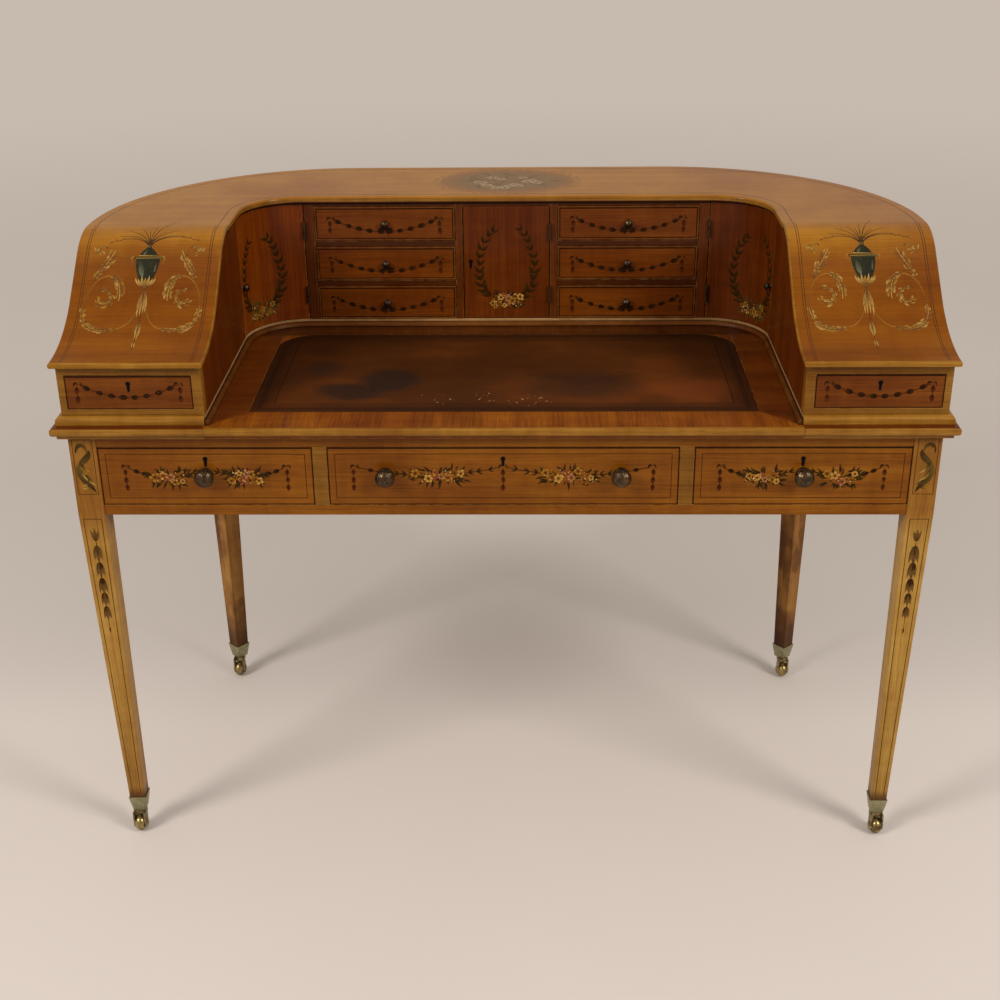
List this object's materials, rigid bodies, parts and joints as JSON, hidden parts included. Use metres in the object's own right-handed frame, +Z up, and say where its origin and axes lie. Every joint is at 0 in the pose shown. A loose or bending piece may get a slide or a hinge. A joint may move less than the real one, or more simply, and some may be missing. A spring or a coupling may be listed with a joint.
{
  "type": "writing desk",
  "caption": "D-shaped satinwood writing desk with a raised case of drawers and cupboards round a pull-out leather writing slide, painted swags and urns, tapered legs on brass casters.",
  "frame": {"origin": "on the floor, under the middle of the desk's outline", "axes": "+X to the sitter's right, +Y to the back, +Z up; the sitter is at -Y"},
  "size_m": [1.37, 0.714, 1],
  "materials": {
    "satinwood": "polished",
    "satinwood_top": "polished",
    "lining_wood": "plain",
    "leather": "worn",
    "brass": "aged"
  },
  "bodies": {
    "desk": {"front_legs": "satinwood", "rear_legs": "satinwood", "frieze_rails": "satinwood", "frieze_dividers": "satinwood", "frieze_panels": "satinwood", "drawer_runners": "lining_wood", "table_top": "satinwood_top", "case_floor": "lining_wood", "plinth_moulding": "satinwood_top", "bay_bead": "satinwood_top", "top_board": "satinwood_top", "arm_slopes": "satinwood_top", "case_wall": "satinwood", "arm_walls": "satinwood", "arm_fronts": "satinwood", "case_partitions": "lining_wood", "drawer_shelves": "lining_wood", "hinge_frame_leaves": "brass", "caster_cups": "brass"},
    "writing_slide": {"writing_slide": "satinwood_top", "writing_leather": "leather"},
    "left_frieze_drawer": {"left_frieze_drawer_front": "satinwood", "left_frieze_drawer_box": "lining_wood", "left_frieze_drawer_fittings": "brass"},
    "centre_frieze_drawer": {"centre_frieze_drawer_front": "satinwood", "centre_frieze_drawer_box": "lining_wood", "centre_frieze_drawer_fittings": "brass"},
    "right_frieze_drawer": {"right_frieze_drawer_front": "satinwood", "right_frieze_drawer_box": "lining_wood", "right_frieze_drawer_fittings": "brass"},
    "left_arm_drawer": {"left_arm_drawer": "satinwood", "left_arm_drawer_lock": "brass"},
    "right_arm_drawer": {"right_arm_drawer": "satinwood", "right_arm_drawer_lock": "brass"},
    "left_lower_drawer": {"left_lower_drawer": "satinwood", "left_lower_drawer_knob": "brass"},
    "left_middle_drawer": {"left_middle_drawer": "satinwood", "left_middle_drawer_knob": "brass"},
    "left_upper_drawer": {"left_upper_drawer": "satinwood", "left_upper_drawer_knob": "brass"},
    "right_lower_drawer": {"right_lower_drawer": "satinwood", "right_lower_drawer_knob": "brass"},
    "right_middle_drawer": {"right_middle_drawer": "satinwood", "right_middle_drawer_knob": "brass"},
    "right_upper_drawer": {"right_upper_drawer": "satinwood", "right_upper_drawer_knob": "brass"},
    "centre_door": {"centre_door": "satinwood", "centre_door_fittings": "brass"},
    "left_corner_door": {"left_corner_door": "satinwood", "left_corner_door_fittings": "brass"},
    "right_corner_door": {"right_corner_door": "satinwood", "right_corner_door_fittings": "brass"},
    "front_left_caster_fork": {"front_left_caster_fork": "brass"},
    "front_left_caster_wheel": {"front_left_caster_wheel": "brass"},
    "front_right_caster_fork": {"front_right_caster_fork": "brass"},
    "front_right_caster_wheel": {"front_right_caster_wheel": "brass"},
    "rear_left_caster_fork": {"rear_left_caster_fork": "brass"},
    "rear_left_caster_wheel": {"rear_left_caster_wheel": "brass"},
    "rear_right_caster_fork": {"rear_right_caster_fork": "brass"},
    "rear_right_caster_wheel": {"rear_right_caster_wheel": "brass"}
  },
  "joints": [
    {"name": "writing_slide_slide", "type": "slide", "parent": "desk", "child": "writing_slide", "axis": [0, -1, 0], "range_m": [0, 0.15]},
    {"name": "left_frieze_drawer_slide", "type": "slide", "parent": "desk", "child": "left_frieze_drawer", "axis": [0, -1, 0], "range_m": [0, 0.27]},
    {"name": "centre_frieze_drawer_slide", "type": "slide", "parent": "desk", "child": "centre_frieze_drawer", "axis": [0, -1, 0], "range_m": [0, 0.36]},
    {"name": "right_frieze_drawer_slide", "type": "slide", "parent": "desk", "child": "right_frieze_drawer", "axis": [0, -1, 0], "range_m": [0, 0.27]},
    {"name": "left_arm_drawer_slide", "type": "slide", "parent": "desk", "child": "left_arm_drawer", "axis": [0, -1, 0], "range_m": [0, 0.21]},
    {"name": "right_arm_drawer_slide", "type": "slide", "parent": "desk", "child": "right_arm_drawer", "axis": [0, -1, 0], "range_m": [0, 0.21]},
    {"name": "left_lower_drawer_slide", "type": "slide", "parent": "desk", "child": "left_lower_drawer", "axis": [0, -1, 0], "range_m": [0, 0.12]},
    {"name": "left_middle_drawer_slide", "type": "slide", "parent": "desk", "child": "left_middle_drawer", "axis": [0, -1, 0], "range_m": [0, 0.12]},
    {"name": "left_upper_drawer_slide", "type": "slide", "parent": "desk", "child": "left_upper_drawer", "axis": [0, -1, 0], "range_m": [0, 0.12]},
    {"name": "right_lower_drawer_slide", "type": "slide", "parent": "desk", "child": "right_lower_drawer", "axis": [0, -1, 0], "range_m": [0, 0.12]},
    {"name": "right_middle_drawer_slide", "type": "slide", "parent": "desk", "child": "right_middle_drawer", "axis": [0, -1, 0], "range_m": [0, 0.12]},
    {"name": "right_upper_drawer_slide", "type": "slide", "parent": "desk", "child": "right_upper_drawer", "axis": [0, -1, 0], "range_m": [0, 0.12]},
    {"name": "centre_door_hinge", "type": "hinge", "parent": "desk", "child": "centre_door", "pos_m": [0.0757, 0.129, 0.88], "axis": [0, 0, 1], "range_deg": [0, 90]},
    {"name": "left_corner_door_hinge", "type": "hinge", "parent": "desk", "child": "left_corner_door", "pos_m": [-0.3528, 0.129, 0.88], "axis": [0, 0, -1], "range_deg": [-85, 0]},
    {"name": "right_corner_door_hinge", "type": "hinge", "parent": "desk", "child": "right_corner_door", "pos_m": [0.3528, 0.129, 0.88], "axis": [0, 0, 1], "range_deg": [-85, 0]},
    {"name": "front_left_caster_swivel", "type": "hinge", "parent": "desk", "child": "front_left_caster_fork", "pos_m": [-0.636, -0.312, 0.04], "axis": [0, 0, 1], "continuous": true},
    {"name": "front_left_caster_roll", "type": "hinge", "parent": "front_left_caster_fork", "child": "front_left_caster_wheel", "pos_m": [-0.636, -0.323, 0.015], "axis": [1, 0, 0], "continuous": true},
    {"name": "front_right_caster_swivel", "type": "hinge", "parent": "desk", "child": "front_right_caster_fork", "pos_m": [0.636, -0.312, 0.04], "axis": [0, 0, 1], "continuous": true},
    {"name": "front_right_caster_roll", "type": "hinge", "parent": "front_right_caster_fork", "child": "front_right_caster_wheel", "pos_m": [0.636, -0.323, 0.015], "axis": [1, 0, 0], "continuous": true},
    {"name": "rear_left_caster_swivel", "type": "hinge", "parent": "desk", "child": "rear_left_caster_fork", "pos_m": [-0.55237, 0.19286, 0.04], "axis": [0, 0, 1], "continuous": true},
    {"name": "rear_left_caster_roll", "type": "hinge", "parent": "rear_left_caster_fork", "child": "rear_left_caster_wheel", "pos_m": [-0.55237, 0.18186, 0.015], "axis": [1, 0, 0], "continuous": true},
    {"name": "rear_right_caster_swivel", "type": "hinge", "parent": "desk", "child": "rear_right_caster_fork", "pos_m": [0.55237, 0.19286, 0.04], "axis": [0, 0, 1], "continuous": true},
    {"name": "rear_right_caster_roll", "type": "hinge", "parent": "rear_right_caster_fork", "child": "rear_right_caster_wheel", "pos_m": [0.55237, 0.18186, 0.015], "axis": [1, 0, 0], "continuous": true}
  ]
}
